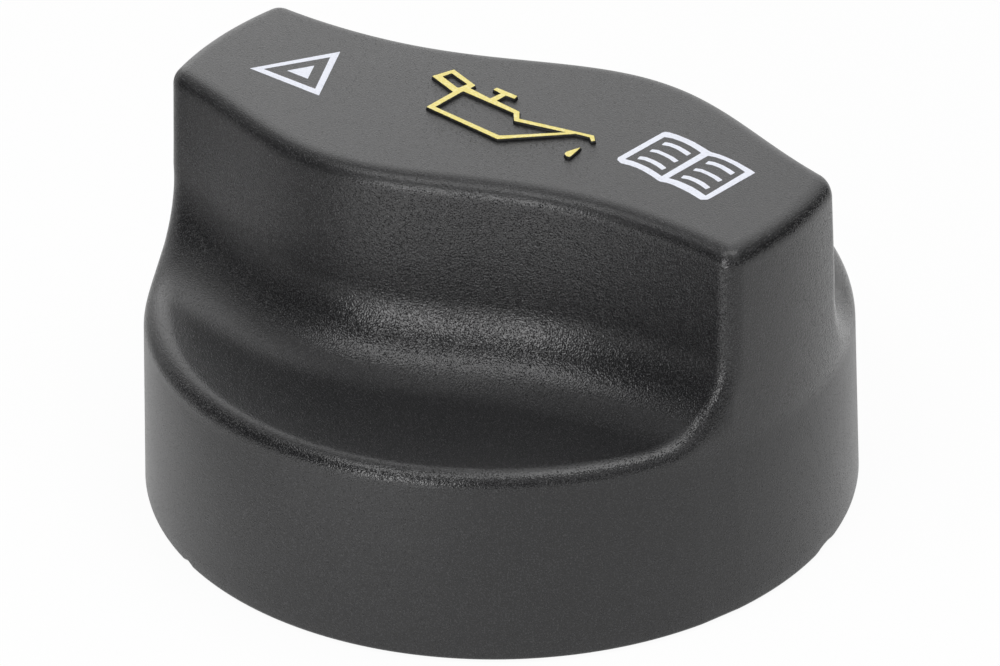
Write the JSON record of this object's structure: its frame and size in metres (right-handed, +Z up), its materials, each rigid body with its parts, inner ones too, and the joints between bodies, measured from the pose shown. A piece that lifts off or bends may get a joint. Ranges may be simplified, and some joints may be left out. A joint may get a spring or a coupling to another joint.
{
  "type": "oil filler cap",
  "caption": "Black moulded filler cap with an S-shaped grip bar, two finger recesses, a round skirt, a bayonet plug with ramped lugs and a rubber seal.",
  "frame": {"origin": "centre of the skirt's open edge, on the surface the cap stands on", "axes": "+Z up along the turning axis, X along the grip bar from end to end"},
  "size_m": [0.063, 0.063, 0.0347],
  "materials": {
    "shell_plastic": "fine spark-eroded grain",
    "plug_plastic": "satin",
    "seal_rubber": "matt",
    "symbol_yellow": "satin foil",
    "symbol_white": "matt ink"
  },
  "bodies": {
    "root": {"grip_shell": "shell_plastic", "bayonet_plug": "plug_plastic", "seal_ring": "seal_rubber"}
  },
  "joints": []
}
